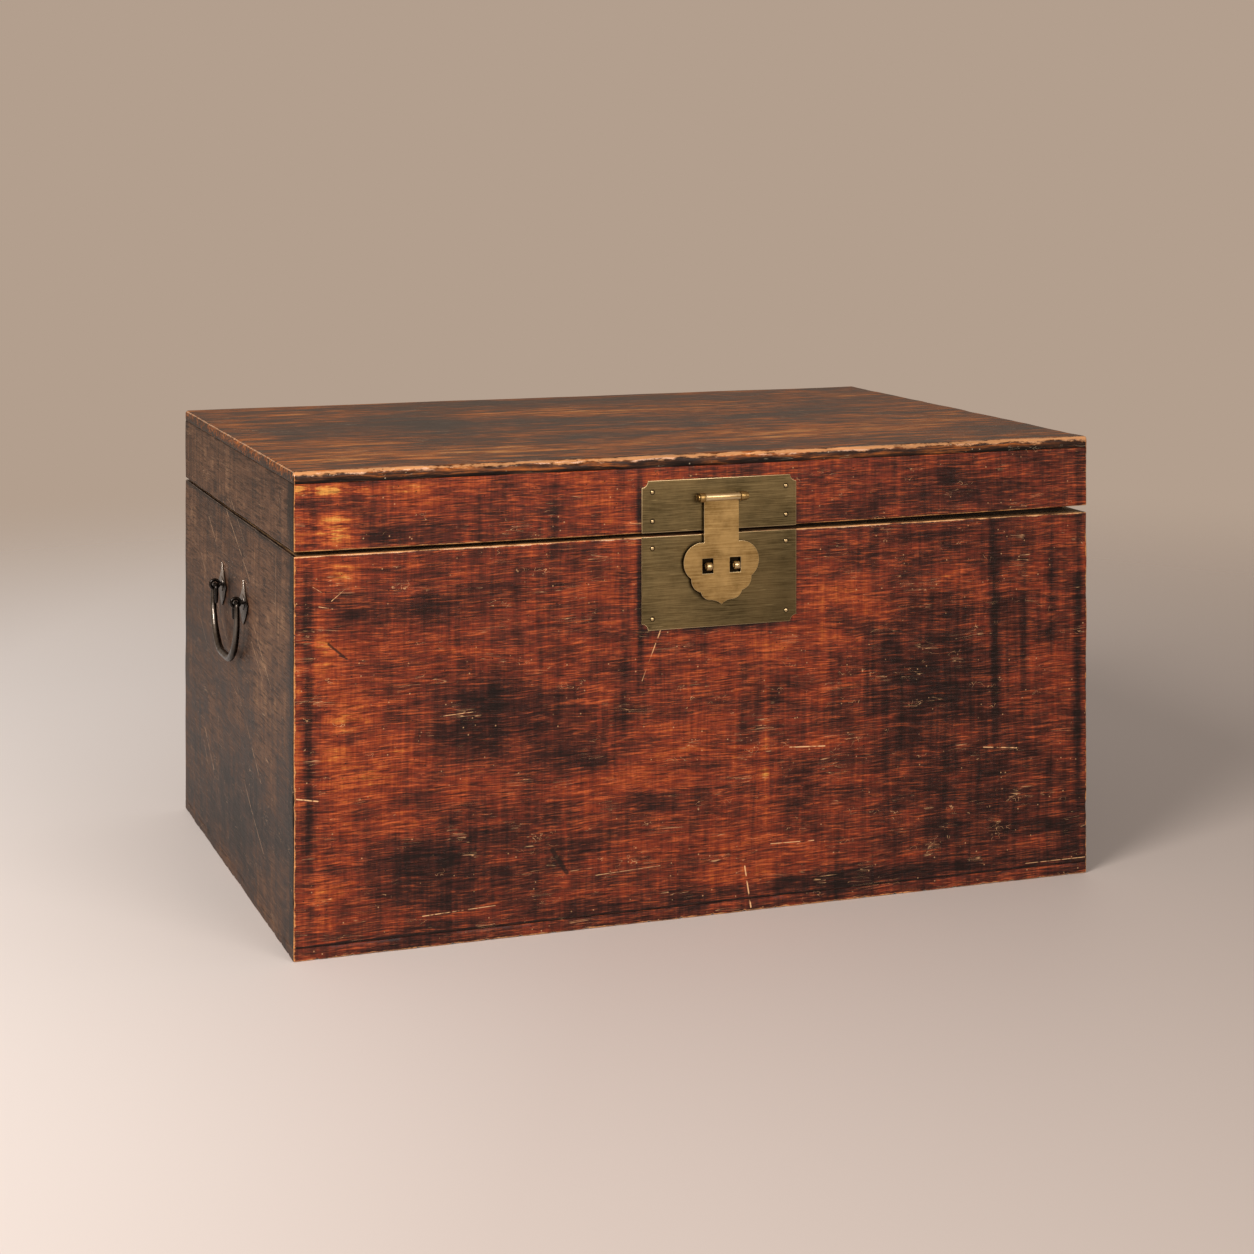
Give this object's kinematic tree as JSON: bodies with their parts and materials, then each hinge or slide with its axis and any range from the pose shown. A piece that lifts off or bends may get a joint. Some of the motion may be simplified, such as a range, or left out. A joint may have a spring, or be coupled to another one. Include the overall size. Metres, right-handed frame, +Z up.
{
  "type": "wooden storage trunk",
  "caption": "Lacquered wooden storage trunk with a hinged lid, brass lock plates with a scalloped hasp, padlock loops and iron drop handles on both ends.",
  "frame": {"origin": "centre of the underside of the trunk, on the surface it stands on", "axes": "+X to the right along the front, +Y from the front to the back, +Z up"},
  "size_m": [0.9324, 0.6368, 0.488],
  "materials": {
    "lacquered_wood": "worn red-brown lacquer",
    "side_wood": "dark brown worn lacquer",
    "top_wood": "dark brown rubbed lacquer",
    "bare_wood": "unfinished inside wood",
    "plate_brass": "brushed aged brass",
    "hasp_brass": "brushed brass",
    "forged_iron": "black forged iron",
    "nail_iron": "dull cut nails"
  },
  "bodies": {
    "box": {"back_board": "side_wood", "bottom_nails": "nail_iron", "bottom_plank_back": "bare_wood", "bottom_plank_front": "bare_wood", "front_board": "lacquered_wood", "handle_left_front_eye": "forged_iron", "handle_left_front_leaf": "forged_iron", "handle_left_rear_eye": "forged_iron", "handle_left_rear_leaf": "forged_iron", "handle_right_front_eye": "forged_iron", "handle_right_front_leaf": "forged_iron", "handle_right_rear_eye": "forged_iron", "handle_right_rear_leaf": "forged_iron", "hinge_left_lower_leaf": "plate_brass", "hinge_left_pin": "plate_brass", "hinge_lower_tacks": "plate_brass", "hinge_right_lower_leaf": "plate_brass", "hinge_right_pin": "plate_brass", "left_board": "side_wood", "lip_back": "bare_wood", "lip_front": "bare_wood", "lip_left": "bare_wood", "lip_right": "bare_wood", "lower_lock_plate": "plate_brass", "lower_plate_tacks": "plate_brass", "padlock_staple_left": "plate_brass", "padlock_staple_right": "plate_brass", "right_board": "side_wood"},
    "lid": {"hasp_pin": "hasp_brass", "hasp_pin_eye_left": "hasp_brass", "hasp_pin_eye_right": "hasp_brass", "hinge_left_upper_leaf": "plate_brass", "hinge_right_upper_leaf": "plate_brass", "hinge_upper_tacks": "plate_brass", "lid_back_board": "side_wood", "lid_corner_blocks": "bare_wood", "lid_front_board": "lacquered_wood", "lid_left_board": "side_wood", "lid_right_board": "side_wood", "top_nails": "nail_iron", "top_plank_back": "top_wood", "top_plank_front": "top_wood", "upper_lock_plate": "plate_brass", "upper_plate_tacks": "plate_brass"},
    "hasp": {"hasp": "hasp_brass"},
    "left_bail": {"left_bail": "forged_iron"},
    "right_bail": {"right_bail": "forged_iron"}
  },
  "joints": [
    {"name": "lid_hinge", "type": "hinge", "parent": "box", "child": "lid", "pos_m": [0, 0.3116, 0.4043], "axis": [-1, 0, 0], "range_deg": [0, 100]},
    {"name": "hasp_hinge", "type": "hinge", "parent": "lid", "child": "hasp", "pos_m": [0.007, -0.3166, 0.4424], "axis": [-1, 0, 0], "range_deg": [0, 175]},
    {"name": "left_handle_pivot", "type": "hinge", "parent": "box", "child": "left_bail", "pos_m": [-0.4595, 0, 0.316], "axis": [0, 1, 0], "range_deg": [-4, 160]},
    {"name": "right_handle_pivot", "type": "hinge", "parent": "box", "child": "right_bail", "pos_m": [0.4595, 0, 0.316], "axis": [0, -1, 0], "range_deg": [-4, 160]}
  ]
}
